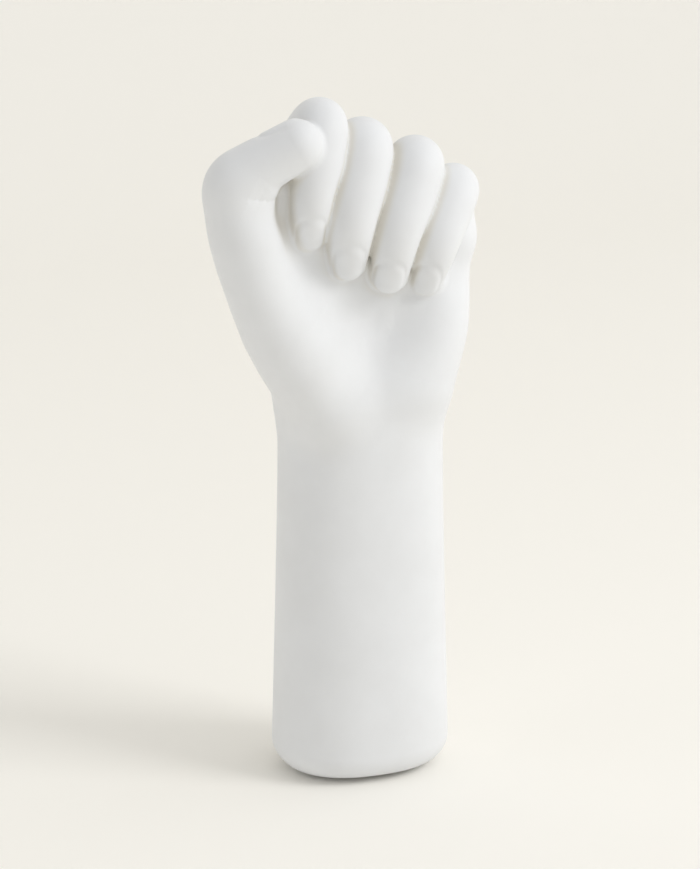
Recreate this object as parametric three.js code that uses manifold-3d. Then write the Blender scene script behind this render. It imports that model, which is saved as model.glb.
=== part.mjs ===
// A raised, loosely closed left hand in matt white ceramic that stands on its own forearm.
// Its undercuts keep it from leaving one mould, so forearm, palm, thumb and fingers are separate
// slip castings, joined with slip before the firing. A disc closes the foot and felt covers it.
// Millimetres, +Z up. +X is the little finger's side, -Y the palm's side, and the origin is the
// middle of the foot on the surface below it.

import * as THREE from 'three';
import Module from 'manifold-3d';

const wasm = await Module();
wasm.setup();

// Joins
const LUTE_GAP = 0.3; // slip line between two castings, and the glue line over the felt
const WALL = 5.5; // wall of the hollow castings

// Felt and closing disc
const FELT_THICKNESS = 1;
const FELT_MARGIN = 1; // felt edge behind the edge of the foot's flat
const MOUTH_LEDGE = 3; // ceramic between that edge and the mouth that the slip is poured through
const DISC_THICKNESS = 6;
const VENT_RADIUS = 4; // lets steam and air out of the hollow while it is fired

// Forearm: an oval tube that tapers from the foot to the wrist and flattens into the heel
const FOREARM_HEIGHT = 130.3;
const FOOT_WIDTH = 66.6;
const FOOT_DEPTH = 54;
const FOOT_RADIUS = 10;
const WRIST_WIDTH = 60;
const WRIST_DEPTH = 47;
const HEEL_WIDTH = 61;
const HEEL_DEPTH = 37;
const HEEL_HEIGHT = 42;
const HEEL_RADIUS = 12;
const OVAL_POWER = 2.2; // 2 is an ellipse, more is squarer

// Skeleton of the hand, from the middle of the wrist seam
const FINGERS = {
  index_finger: {
    carpal: [-11, 2, 16],
    knuckle: [-28, 9, 81],
    middle_joint: [-21.5, -23, 117.7],
    end_joint: [-31.3, -29.4, 87.5],
    tip: [-25.7, -22.8, 76.3],
    knuckle_radius: 11.2,
    middle_radius: 9.3,
    end_radius: 8.9,
    tip_radius: 7.2,
    nail: { ahead: -2.4, half_length: 7.2, half_width: 5.2 },
  },
  middle_finger: {
    carpal: [-4, 4, 16],
    knuckle: [-8, 12, 77],
    middle_joint: [-5, -20.4, 108],
    end_joint: [-14.4, -29.1, 80],
    tip: [-12.7, -21.9, 64.5],
    knuckle_radius: 11.4,
    middle_radius: 10.4,
    end_radius: 8.8,
    tip_radius: 6.7,
    nail: { ahead: -1.2, half_length: 7.2, half_width: 5.6 },
  },
  ring_finger: {
    carpal: [5, 4, 14],
    knuckle: [11.5, 11, 70],
    middle_joint: [15.3, -18.8, 100.4],
    end_joint: [2.5, -28.2, 73.5],
    tip: [3, -20.7, 58.5],
    knuckle_radius: 10.8,
    middle_radius: 10.1,
    end_radius: 8.5,
    tip_radius: 7,
    nail: { ahead: -0.6, half_length: 7, half_width: 5.4 },
  },
  little_finger: {
    carpal: [13, 2, 16],
    knuckle: [28, 6, 60.5],
    middle_joint: [31, -14.5, 89.9],
    end_joint: [18.5, -25.3, 68.5],
    tip: [17.8, -18.6, 55.5],
    knuckle_radius: 10,
    middle_radius: 9.3,
    end_radius: 7.9,
    tip_radius: 6.4,
    nail: { ahead: -0.2, half_length: 6.4, half_width: 4.9 },
  },
};
const THUMB = {
  root: [-26, -10, 35],
  knuckle: [-43, -17, 60],
  joint: [-56.7, -25.7, 95.4],
  tip: [-35.2, -33.5, 108.6],
  root_radius: 14,
  knuckle_radius: 13.4,
  joint_radius: 10.6,
  tip_radius: 9,
  nail: { ahead: -2, half_length: 7.8, half_width: 6.2 },
};
const MIDDLE_BEND = 8.6; // length of the rounding on each side of a joint
const END_BEND = 9;
const THUMB_KNUCKLE_BEND = 16;
const THUMB_JOINT_BEND = 6;
const FOLD_GAP = 0.4; // slit where a bent finger's flesh meets itself

// Flesh of the palm, as limbs through points with a radius at each
const KNUCKLE_DROP = 6; // a hand bone's head lies this far under its knuckle
const HAND_BONE_RADIUS = 13.5;
const BONE_HEAD_RADIUS = 12.8;
const THUMB_BALL = { points: [[-5.5, -6.5, 20], [-24, -13, 38], [-38, -17, 58]], radii: [14, 19, 17] };
const HAND_EDGE = { points: [[14, -4, 18], [25.2, -5, 38], [26.6, -4, 56]], radii: [14, 14.1, 11.6] };
const PALM_PAD = { points: [[-18, -3, 58], [3, -4, 50], [20, -4, 45]], radii: [10.5, 11, 10.5] };
const FINGER_PADS = { // at the roots of the fingers, where the fingertips press into the palm
  points: [[-35, -14, 77], [-18.5, -12.5, 71], [-2.5, -12, 65.5], [12, -12, 59.5], [24, -10, 56]],
  radii: [8.5, 9, 9, 9, 8],
};
const WEB = { points: [[-34, -9, 66], [-38.5, -15, 93]], radii: [9.5, 8.5] }; // from palm to thumb
const FLESH_BEND = 12;

// How widely one form runs into the next
const BONE_BLEND = 9;
const WRIST_BLEND = 18;
const EDGE_BLEND = 14;
const PAD_BLEND = 12;
const BALL_BLEND = 16;
const FINGER_PAD_BLEND = 5;
const WEB_BLEND = 12;

// The middle of the palm, where its skin is measured from, and the slope of the knuckle line
const PALM_CENTRE = [-5, 3, 56];
const KNUCKLE_SLOPE = 20; // degrees

// Nail plates, whose half sizes above run from a middle ahead of the fingertip's centre
const NAIL_POWER = 2.6;
const NAIL_LIFT = 0.35;
const NAIL_EDGE = 0.15; // height of the plate's rim
const NAIL_ROOT = 0.8; // depth of the plate in the flesh
const NAIL_BEVEL = 0.85; // share of the plate inside its bevel
const NAIL_MIDDLE = 0.5; // share of the plate inside its inner ring

// Fineness of the skins
const ARM_ROWS = 7;
const PALM_ROWS = 11;
const PALM_SIDES = 48;
const BORE_SIDES = 32;
const FINGER_SIDES = 18;
const NAIL_SIDES = 20;
const LIMB_STEP = 5; // between rings on a straight run of a limb
const TURN_STEP = Math.PI / 11; // between rings in a bend
const LONGEST_BEND = 0.48; // share of the shorter run that a bend may take
const FAN_RINGS = 4; // in a quarter turn of a fingertip or an edge
const CROWN_RINGS = 8; // from the palm's side to the top of its knuckles
const MARCH_STEP = 1;
const HALVINGS = 18;

const FOOT_LEVEL = FELT_THICKNESS + LUTE_GAP;
const WRIST_LEVEL = FOOT_LEVEL + FOREARM_HEIGHT;
const HEEL_LEVEL = WRIST_LEVEL + HEEL_HEIGHT;
const MOUTH_INSET = FOOT_RADIUS + MOUTH_LEDGE;
const HALF_GAP = LUTE_GAP / 2;
const UP = new THREE.Vector3(0, 0, 1);

/** A point given from the middle of the wrist seam. */
function fromWrist([x, y, z]) {
  return new THREE.Vector3(x, y, z + WRIST_LEVEL);
}

/** Values spread evenly from one to another, both ends included. */
function spread(from, to, count) {
  return Array.from({ length: count + 1 }, (_, i) => from + (to - from) * i / count);
}

/** Union of two distances that run into each other over a width. */
function blend(a, b, width) {
  const overlap = Math.max(width - Math.abs(a - b), 0) / width;
  return Math.min(a, b) - overlap * overlap * width / 4;
}

/** The round part of a joint: an arc that leaves one straight run and meets the next. */
class Bend extends THREE.Curve {
  constructor(before, corner, after) {
    super();
    const size = corner.distanceTo(before);
    this.ahead = corner.clone().sub(before).divideScalar(size);
    const leaving = after.clone().sub(corner).divideScalar(size);
    this.turn = this.ahead.angleTo(leaving);
    this.radius = size / Math.tan(this.turn / 2);
    this.inward = leaving.addScaledVector(this.ahead, -Math.cos(this.turn)).normalize();
    this.centre = before.clone().addScaledVector(this.inward, this.radius);
  }

  getPoint(t, target = new THREE.Vector3()) {
    const angle = this.turn * t;
    target.copy(this.centre).addScaledVector(this.inward, -this.radius * Math.cos(angle));
    return target.addScaledVector(this.ahead, this.radius * Math.sin(angle));
  }

  getTangent(t, target = new THREE.Vector3()) {
    const angle = this.turn * t;
    target.copy(this.ahead).multiplyScalar(Math.cos(angle));
    return target.addScaledVector(this.inward, Math.sin(angle));
  }
}

/** Flesh of changing radius round a chain of points with rounded corners. */
class Limb {
  constructor(points, radii, bendSize) {
    this.radii = radii;
    this.path = new THREE.CurvePath();
    this.stations = [0];
    this.folds = [];
    let start = points[0];
    let length = 0;
    for (let i = 1; i + 1 < points.length; i++) {
      const room = Math.min(points[i].distanceTo(points[i - 1]), points[i].distanceTo(points[i + 1]));
      const size = Math.min(bendSize[i - 1], LONGEST_BEND * room);
      const before = points[i].clone().add(points[i - 1].clone().sub(points[i]).setLength(size));
      const after = points[i].clone().add(points[i + 1].clone().sub(points[i]).setLength(size));
      const bend = new Bend(before, points[i], after);
      this.path.add(new THREE.LineCurve3(start, before));
      this.path.add(bend);
      length += start.distanceTo(before) + bend.radius * bend.turn;
      const middle = length - bend.radius * bend.turn / 2;
      this.stations.push(middle);
      const meetsItself = bend.radius < radii[i];
      if (meetsItself) this.folds.push({ middle, centre: bend.centre, across: bend.getTangent(0.5) });
      start = after;
    }
    this.path.add(new THREE.LineCurve3(start, points.at(-1)));
    this.length = length + start.distanceTo(points.at(-1));
    this.stations.push(this.length);
    this.places = this.placesAlong();
  }

  /** Places on the centre line: a few on each straight run and an even spread round each bend. */
  placesAlong() {
    const places = [];
    let length = 0;
    for (const run of this.path.curves) {
      const size = run.getLength();
      const parts = run.turn ? 2 * Math.round(run.turn / TURN_STEP / 2) + 1 : Math.ceil(size / LIMB_STEP);
      for (const t of spread(0, 1, parts).slice(places.length ? 1 : 0)) {
        const s = length + t * size;
        places.push({ s, centre: run.getPoint(t), along: run.getTangent(t), radius: this.radiusAt(s) });
      }
      length += size;
    }
    return places;
  }

  radiusAt(s) {
    let i = 0;
    while (i + 2 < this.stations.length && s > this.stations[i + 1]) i++;
    const share = (s - this.stations[i]) / (this.stations[i + 1] - this.stations[i]);
    return THREE.MathUtils.lerp(this.radii[i], this.radii[i + 1], THREE.MathUtils.clamp(share, 0, 1));
  }

  distance(p) {
    let best = Infinity;
    for (let i = 0; i + 1 < this.places.length; i++) {
      const { centre: a, radius } = this.places[i];
      const { centre: b, radius: nextRadius } = this.places[i + 1];
      const ux = b.x - a.x;
      const uy = b.y - a.y;
      const uz = b.z - a.z;
      const along = ((p.x - a.x) * ux + (p.y - a.y) * uy + (p.z - a.z) * uz) / (ux * ux + uy * uy + uz * uz);
      const t = THREE.MathUtils.clamp(along, 0, 1);
      const away = Math.hypot(p.x - a.x - t * ux, p.y - a.y - t * uy, p.z - a.z - t * uz);
      best = Math.min(best, away - radius - t * (nextRadius - radius));
    }
    return best;
  }

  /** How far a point lies past the fold of a bend, seen from a place on the centre line. */
  pastFold(p, s) {
    let most = -Infinity;
    for (const { middle, centre, across } of this.folds) {
      const beyond = (p.x - centre.x) * across.x + (p.y - centre.y) * across.y + (p.z - centre.z) * across.z;
      most = Math.max(most, (s < middle ? beyond : -beyond) + FOLD_GAP / 2);
    }
    return most;
  }
}

/** Distance to the forearm's side, and past the heel to its rounded end inside the palm. */
function forearmDistance(p) {
  const arm = THREE.MathUtils.clamp((p.z - FOOT_LEVEL) / FOREARM_HEIGHT, 0, 1);
  const heel = THREE.MathUtils.clamp((p.z - WRIST_LEVEL) / HEEL_HEIGHT, 0, 1);
  const wide = THREE.MathUtils.lerp(THREE.MathUtils.lerp(FOOT_WIDTH, WRIST_WIDTH, arm), HEEL_WIDTH, heel);
  const deep = THREE.MathUtils.lerp(THREE.MathUtils.lerp(FOOT_DEPTH, WRIST_DEPTH, arm), HEEL_DEPTH, heel);
  const oval = (Math.abs(p.x) * 2 / wide) ** OVAL_POWER + (Math.abs(p.y) * 2 / deep) ** OVAL_POWER;
  const side = Math.hypot(p.x, p.y) * (1 - 1 / Math.max(oval, 1e-9) ** (1 / OVAL_POWER));
  const over = p.z - HEEL_LEVEL + HEEL_RADIUS;
  if (over <= 0) return side;
  return Math.hypot(Math.max(side + HEEL_RADIUS, 0), over) - HEEL_RADIUS;
}

const flesh = ({ points, radii }) => new Limb(points.map(fromWrist), radii, radii.map(() => FLESH_BEND));
const thumbBall = flesh(THUMB_BALL);
const handEdge = flesh(HAND_EDGE);
const palmPad = flesh(PALM_PAD);
const fingerPads = flesh(FINGER_PADS);
const web = flesh(WEB);
const handBones = Object.values(FINGERS).map(({ carpal, knuckle }) => {
  const head = fromWrist(knuckle).addScaledVector(UP, -KNUCKLE_DROP);
  return new Limb([fromWrist(carpal), head], [HAND_BONE_RADIUS, BONE_HEAD_RADIUS], []);
});

/** Distance to forearm and palm as one flowing form, before they are parted at the wrist. */
function bodyDistance(p) {
  let bones = handBones[0].distance(p);
  for (const bone of handBones.slice(1)) bones = blend(bones, bone.distance(p), BONE_BLEND);
  let body = blend(forearmDistance(p), bones, WRIST_BLEND);
  body = blend(body, handEdge.distance(p), EDGE_BLEND);
  body = blend(body, palmPad.distance(p), PAD_BLEND);
  body = blend(body, thumbBall.distance(p), BALL_BLEND);
  return blend(body, fingerPads.distance(p), FINGER_PAD_BLEND);
}

/** Distance to the web as it runs into the palm, no farther from its own flesh than it blends. */
function webDistance(p) {
  const own = web.distance(p);
  return Math.max(blend(own, bodyDistance(p), WEB_BLEND), own - WEB_BLEND);
}

/** How far a ray runs from its origin before the distance passes a level. */
function reach(origin, direction, distance, level) {
  const p = new THREE.Vector3();
  let far = MARCH_STEP;
  while (distance(p.copy(origin).addScaledVector(direction, far)) < level) far += MARCH_STEP;
  let near = far - MARCH_STEP;
  for (let i = 0; i < HALVINGS; i++) {
    const half = (near + far) / 2;
    if (distance(p.copy(origin).addScaledVector(direction, half)) < level) near = half;
    else far = half;
  }
  return near;
}

/** A solid from corner points and triangles. */
function solid(points, triangles) {
  const vertProperties = new Float32Array(points.flatMap((p) => [p.x, p.y, p.z]));
  const triVerts = new Uint32Array(triangles);
  return new wasm.Manifold(new wasm.Mesh({ numProp: 3, vertProperties, triVerts }));
}

/** A closed solid through rings of points, with a point that closes each end. */
function loft(rings, first, last) {
  const sides = rings[0].length;
  const points = [...rings.flat(), first, last];
  const triangles = [];
  for (let side = 0; side < sides; side++) {
    const next = (side + 1) % sides;
    const top = (rings.length - 1) * sides;
    triangles.push(points.length - 2, next, side, points.length - 1, top + side, top + next);
    for (let row = 0; row < top; row += sides) {
      triangles.push(row + side, row + next, row + sides + next);
      triangles.push(row + side, row + sides + next, row + sides + side);
    }
  }
  return solid(points, triangles);
}

/** Directions round a spine: along is its own direction, and across is where the count starts. */
function frame(origin, across, along) {
  const e1 = across.clone().addScaledVector(along, -across.dot(along)).normalize();
  return { origin, along, e1, e2: along.clone().cross(e1) };
}

/** Direction at an angle round the spine, raised by another angle towards its end. */
function heading({ e1, e2, along }, round, raise) {
  const flat = new THREE.Vector3().addScaledVector(e1, Math.cos(round)).addScaledVector(e2, Math.sin(round));
  return flat.multiplyScalar(Math.cos(raise)).addScaledVector(along, Math.sin(raise));
}

/** One ring of points where rays from a place on the spine meet a level of a form. */
function skinRing(at, raise, sides, distance, level) {
  return Array.from({ length: sides }, (_, side) => {
    const direction = heading(at, 2 * Math.PI * side / sides, raise);
    return at.origin.clone().addScaledVector(direction, reach(at.origin, direction, distance, level));
  });
}

/** Where the ray along the spine itself meets the form, ahead of its end or behind its start. */
function skinPole(at, sign, distance, level) {
  const direction = at.along.clone().multiplyScalar(sign);
  return at.origin.clone().addScaledVector(direction, reach(at.origin, direction, distance, level));
}

/** Raised angles of the rings that close a rounded end. */
const fan = (count) => Array.from({ length: count }, (_, i) => (i + 1) / (count + 1) * Math.PI / 2);

const atHeight = (z) => frame(new THREE.Vector3(0, 0, z), new THREE.Vector3(1, 0, 0), UP);

/** The outline of forearm and palm at a height, inset from their surface. */
const section = (z, inset, sides) => skinRing(atHeight(z), 0, sides, bodyDistance, -inset);

/** A flat-ended loft through outlines at some heights, each with its inset. */
function column(levels, sides) {
  const rings = levels.map(([z, inset]) => section(z, inset, sides));
  return loft(rings, atHeight(levels[0][0]).origin, atHeight(levels.at(-1)[0]).origin);
}

/** Heights and insets round the foot's edge, at a distance inside the forearm's surface. */
function footLevels(inside) {
  const radius = Math.max(FOOT_RADIUS - inside, LUTE_GAP);
  return spread(0, Math.PI / 2, FAN_RINGS).map((turn) => [
    FOOT_LEVEL + FOOT_RADIUS - radius * Math.cos(turn),
    FOOT_RADIUS - radius * Math.sin(turn),
  ]);
}

/** The hollow forearm: a rounded foot with the mouth in its flat, a tapering side and an open bore. */
function makeForearm() {
  const top = WRIST_LEVEL - HALF_GAP;
  const rise = (to) => spread(FOOT_LEVEL + FOOT_RADIUS, to, ARM_ROWS).slice(1);
  const side = rise(top).map((z) => [z, 0]);
  const bore = rise(top + WALL).map((z) => [z, WALL]);
  const edge = footLevels(WALL);
  const mouth = [[FOOT_LEVEL - WALL, MOUTH_INSET], [edge[0][0], MOUTH_INSET]];
  const hollow = column([...mouth, ...edge, ...bore], BORE_SIDES);
  return column([...footLevels(0), ...side], PALM_SIDES).subtract(hollow);
}

/** The palm's skin at a level, from the wrist seam over the knuckles. */
function palmSkin(from, sides, level) {
  const centre = fromWrist(PALM_CENTRE);
  const slope = THREE.MathUtils.degToRad(KNUCKLE_SLOPE);
  const places = spread(0, 1, PALM_ROWS).map((share) => {
    const tilt = slope * share;
    const along = new THREE.Vector3(Math.sin(tilt), 0, Math.cos(tilt));
    const origin = new THREE.Vector3(0, 0, from).lerp(centre, share);
    return frame(origin, new THREE.Vector3(1, 0, 0), along);
  });
  const crown = places.at(-1);
  const rings = places.map((at) => skinRing(at, 0, sides, bodyDistance, level));
  for (const raise of fan(CROWN_RINGS)) rings.push(skinRing(crown, raise, sides, bodyDistance, level));
  return loft(rings, places[0].origin, skinPole(crown, 1, bodyDistance, level));
}

/** A limb's skin along its centre line, with both ends rounded, where distanceFrom(s) is below a level. */
function limbSkin(limb, lateral, distanceFrom, level) {
  const around = ({ centre, along }) => frame(centre, lateral, along);
  const ring = (place, raise) => skinRing(around(place), raise, FINGER_SIDES, distanceFrom(place.s), level);
  const pole = (place, sign) => skinPole(around(place), sign, distanceFrom(place.s), level);
  const start = limb.places[0];
  const end = limb.places.at(-1);
  const rings = fan(FAN_RINGS).reverse().map((raise) => ring(start, -raise));
  for (const place of limb.places) rings.push(ring(place, 0));
  for (const raise of fan(FAN_RINGS)) rings.push(ring(end, raise));
  return loft(rings, pole(start, -1), pole(end, 1));
}

/** The palm as a solid, grown by a distance, with the web that stands between thumb and index finger. */
function palmSolid(from, grown) {
  const webSkin = limbSkin(web, new THREE.Vector3(0, 1, 0), () => webDistance, grown);
  return palmSkin(from, PALM_SIDES, grown).add(webSkin);
}

/** The hollow palm, open at the wrist. */
function makePalm() {
  const hollow = palmSkin(WRIST_LEVEL - WALL, BORE_SIDES, -WALL);
  return palmSolid(WRIST_LEVEL + HALF_GAP, 0).subtract(hollow);
}

/** A point of a superellipse at an angle, on axes of one unit. */
function superellipse(angle, power) {
  const bulge = (v) => Math.sign(v) * Math.abs(v) ** (2 / power);
  return [bulge(Math.cos(angle)), bulge(Math.sin(angle))];
}

/** A nail plate that follows the back of a fingertip. */
function nailPlate(limb, lateral, nail) {
  const tipRadius = limb.radii.at(-1);
  const flesh = (p) => limb.distance(p);
  const place = (share, angle, lift) => {
    const [lengthwise, sideways] = superellipse(angle, NAIL_POWER);
    const ahead = nail.ahead + nail.half_length * share * lengthwise;
    const aside = nail.half_width * share * sideways;
    const t = Math.min((limb.length + ahead) / limb.length, 1);
    const at = frame(limb.path.getPoint(t), lateral, limb.path.getTangent(t));
    const direction = heading(at, (aside / tipRadius) - Math.PI / 2, Math.max(ahead, 0) / tipRadius);
    const out = reach(at.origin, direction, flesh, 0) + lift;
    return at.origin.clone().addScaledVector(direction, out);
  };
  const angles = spread(0, -2 * Math.PI, NAIL_SIDES).slice(1);
  const ring = (share, lift) => angles.map((angle) => place(share, angle, lift));
  const underside = [ring(NAIL_MIDDLE, -NAIL_ROOT), ring(1, -NAIL_ROOT)];
  const face = [ring(1, NAIL_EDGE), ring(NAIL_BEVEL, NAIL_LIFT), ring(NAIL_MIDDLE, NAIL_LIFT)];
  return loft([...underside, ...face], place(0, 0, -NAIL_ROOT), place(0, 0, NAIL_LIFT));
}

/** A bent limb of the hand as a casting with its nail, parted from the other limbs and from the palm. */
function castLimb({ limb, lateral, nail }, others, palm) {
  const distanceFrom = (s) => (p) => {
    const own = limb.distance(p);
    let most = Math.max(own, limb.pastFold(p, s));
    for (const other of others) most = Math.max(most, (own - other.limb.distance(p)) / 2 + HALF_GAP);
    return most;
  };
  return limbSkin(limb, lateral, distanceFrom, 0).add(nailPlate(limb, lateral, nail)).subtract(palm);
}

/** The disc that closes the mouth of the forearm, with its vent. */
function makeDisc() {
  const edge = MOUTH_INSET + LUTE_GAP;
  const disc = column([[FOOT_LEVEL, edge], [FOOT_LEVEL + DISC_THICKNESS, edge]], BORE_SIDES);
  const vent = (z) => Array.from({ length: BORE_SIDES }, (_, i) => {
    const angle = 2 * Math.PI * i / BORE_SIDES;
    return new THREE.Vector3(VENT_RADIUS * Math.cos(angle), VENT_RADIUS * Math.sin(angle), z);
  });
  const ends = [FOOT_LEVEL - DISC_THICKNESS, FOOT_LEVEL + 2 * DISC_THICKNESS];
  return disc.subtract(loft(ends.map(vent), ...ends.map((z) => atHeight(z).origin)));
}

/** The oval of felt under the foot. */
function makeFelt() {
  const outline = section(FOOT_LEVEL, FOOT_RADIUS + FELT_MARGIN, PALM_SIDES);
  const rings = [0, FELT_THICKNESS].map((z) => outline.map((p) => p.clone().setZ(z)));
  return loft(rings, atHeight(0).origin, atHeight(FELT_THICKNESS).origin);
}

const ceramic = new THREE.MeshStandardMaterial({ color: 0xe9e8e4, roughness: 0.62, metalness: 0 });
const felt = new THREE.MeshStandardMaterial({ color: 0x8f887e, roughness: 0.95, metalness: 0 });

/** A named mesh of a finished solid. */
function piece(name, shape, material) {
  const { vertProperties, triVerts } = shape.getMesh();
  const geometry = new THREE.BufferGeometry();
  geometry.setAttribute('position', new THREE.BufferAttribute(vertProperties, 3));
  geometry.setIndex(new THREE.BufferAttribute(triVerts, 1));
  const mesh = new THREE.Mesh(geometry, material);
  mesh.name = name;
  return mesh;
}

/** A limb with its nail, bent across the axis that its joint of this number turns about. */
function bentLimb(joints, radii, bendSize, bend, nail) {
  const points = joints.map(fromWrist);
  const lateral = points[bend - 1].clone().sub(points[bend]);
  lateral.cross(points[bend + 1].clone().sub(points[bend])).normalize();
  return { limb: new Limb(points, radii, bendSize), lateral, nail };
}

const limbs = Object.entries(FINGERS).map(([name, finger]) => {
  const joints = [finger.knuckle, finger.middle_joint, finger.end_joint, finger.tip];
  const radii = [finger.knuckle_radius, finger.middle_radius, finger.end_radius, finger.tip_radius];
  return { name, ...bentLimb(joints, radii, [MIDDLE_BEND, END_BEND], 1, finger.nail) };
});
const thumbJoints = [THUMB.root, THUMB.knuckle, THUMB.joint, THUMB.tip];
const thumbRadii = [THUMB.root_radius, THUMB.knuckle_radius, THUMB.joint_radius, THUMB.tip_radius];
const thumbBends = [THUMB_KNUCKLE_BEND, THUMB_JOINT_BEND];
limbs.push({ name: 'thumb', ...bentLimb(thumbJoints, thumbRadii, thumbBends, 2, THUMB.nail) });

const hand = new THREE.Group();
hand.add(piece('forearm', makeForearm(), ceramic));
hand.add(piece('palm', makePalm(), ceramic));
const palmGrown = palmSolid(WRIST_LEVEL, LUTE_GAP);
for (const limb of limbs) {
  const others = limbs.filter((other) => other !== limb);
  hand.add(piece(limb.name, castLimb(limb, others, palmGrown), ceramic));
}
hand.add(piece('closing_disc', makeDisc(), ceramic));
hand.add(piece('felt_pad', makeFelt(), felt));

export default hand;
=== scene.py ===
"""Looks of a raised, loosely closed hand in matt white ceramic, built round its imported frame."""

import logging
import math
from dataclasses import dataclass
from enum import Enum

import bmesh
import bpy
import numpy as np
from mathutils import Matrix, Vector


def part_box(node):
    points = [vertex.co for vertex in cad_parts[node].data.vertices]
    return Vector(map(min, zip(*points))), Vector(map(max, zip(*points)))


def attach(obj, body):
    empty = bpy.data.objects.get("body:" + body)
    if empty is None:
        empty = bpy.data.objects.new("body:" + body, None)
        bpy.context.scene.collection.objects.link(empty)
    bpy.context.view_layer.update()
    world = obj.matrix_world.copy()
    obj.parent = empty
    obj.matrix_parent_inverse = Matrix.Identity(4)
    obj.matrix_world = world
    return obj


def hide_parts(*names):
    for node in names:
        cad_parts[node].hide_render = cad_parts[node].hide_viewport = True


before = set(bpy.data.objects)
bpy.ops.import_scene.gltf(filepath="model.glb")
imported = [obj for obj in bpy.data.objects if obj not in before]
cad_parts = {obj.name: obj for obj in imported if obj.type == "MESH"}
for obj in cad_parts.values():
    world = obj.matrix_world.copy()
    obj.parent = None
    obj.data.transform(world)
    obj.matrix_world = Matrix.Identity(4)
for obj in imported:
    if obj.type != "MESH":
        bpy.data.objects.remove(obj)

LOG = logging.getLogger("hand_sculpture")
MM = 0.001
FAR = 1000.0
BODY = "root"
PHOTO_SIZE = (700, 869)
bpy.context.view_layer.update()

Array = np.ndarray
Point = tuple[float, float, float]
Colour = tuple[float, float, float]

# Guards against a division by zero
LEAST_OVAL = 1e-9
LEAST_SLOPE = 1e-6

# Fingers: how slim they are between the joints, and the length of the rounding at the joints
FINGER_RADII_BETWEEN = (0.96, 0.97)
FINGER_BENDS = (12.0, 9.0)

# How far from a limb its distance still matters, and how widely the parts of the palm run together
BONE_MARGIN = 40.0
FLESH_MARGIN = 20.0
THUMB_MARGIN = 24.0
FINGER_MARGIN = 20.0
BONE_BLEND = 9.0
HEEL_BLEND = 18.0

# The thumb runs into the palm up to a share of the way to its knuckle, and comes loose past its joint
THUMB_MERGED = 0.7
THUMB_LOOSENS = (11.0, 20.0)
THUMB_BLENDS = (13.3, 7.5, 7.5, 1.5)

# Fingers run into the palm and into each other: shares of the first bone, and the widths there
PALM_SHARES = np.array([0.0, 0.45, 0.8])
PALM_BLENDS = (12.0, 8.0, 2.2)
BESIDE_SHARES = np.array([0.0, 0.5, 0.7])
BESIDE_BLENDS = (7.0, 3.2, 2.0)

# Where a limb's own casting starts, as a share of its first bone, and how much skin round it is its own
THUMB_ROOT = 0.85
FINGER_ROOT = 0.15
LIMB_CLAIMS = (5.0, 1.5, 0.0)

# Rounds that smooth the seams, how far out the closing in of the folds is measured for their painted shade,
# and how high the foot's opening reaches
SEAM_ROUNDS = 8
SHELTER_DEPTHS = (2.0, 5.0, 11.0, 22.0)
DISC_REACH = 0.5

# Sockets of a node that mixes colours
MIX_SHARE, MIX_FIRST, MIX_SECOND, MIX_RESULT = 0, 6, 7, 2


class Casting(Enum):
    """The castings that are joined into the hand, by the names of their nodes."""

    FOREARM = "forearm"
    PALM = "palm"
    THUMB = "thumb"
    INDEX = "index_finger"
    MIDDLE = "middle_finger"
    RING = "ring_finger"
    LITTLE = "little_finger"


class Slot(Enum):
    """The record's material slots."""

    CERAMIC = "ceramic"
    FELT = "felt"


def blend(a: Array, b: Array, width: Array | float) -> Array:
    """Joins two distances so that their forms run into each other.

    Args:
        a: Distances to one form.
        b: Distances to the other.
        width: How widely they run into each other, in millimetres.

    Returns:
        Distances to the joined form.
    """
    overlap = np.maximum(width - np.abs(a - b), 0.0) / width
    return np.minimum(a, b) - overlap * overlap * width / 4


def smooth_through(x: Array, xs: Array, ys: Array) -> Array:
    """Reads a smooth curve through some stations that never overshoots them.

    Args:
        x: Places to read at.
        xs: Places of the stations, rising.
        ys: Values at the stations.

    Returns:
        The values at x.
    """
    gaps = np.diff(xs)
    slopes = np.diff(ys) / gaps
    tangents = np.zeros(len(xs))
    product = slopes[:-1] * slopes[1:]
    total = slopes[:-1] + slopes[1:]
    same_way = product > 0
    tangents[1:-1][same_way] = 2 * product[same_way] / total[same_way]
    tangents[0], tangents[-1] = slopes[0], slopes[-1]
    x = np.clip(x, xs[0], xs[-1])
    i = np.clip(np.searchsorted(xs, x) - 1, 0, len(xs) - 2)
    t = (x - xs[i]) / gaps[i]
    first = (1 + 2 * t) * (1 - t) ** 2 * ys[i] + t * (1 - t) ** 2 * gaps[i] * tangents[i]
    return first + t * t * (3 - 2 * t) * ys[i + 1] + t * t * (t - 1) * gaps[i] * tangents[i + 1]


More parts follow.
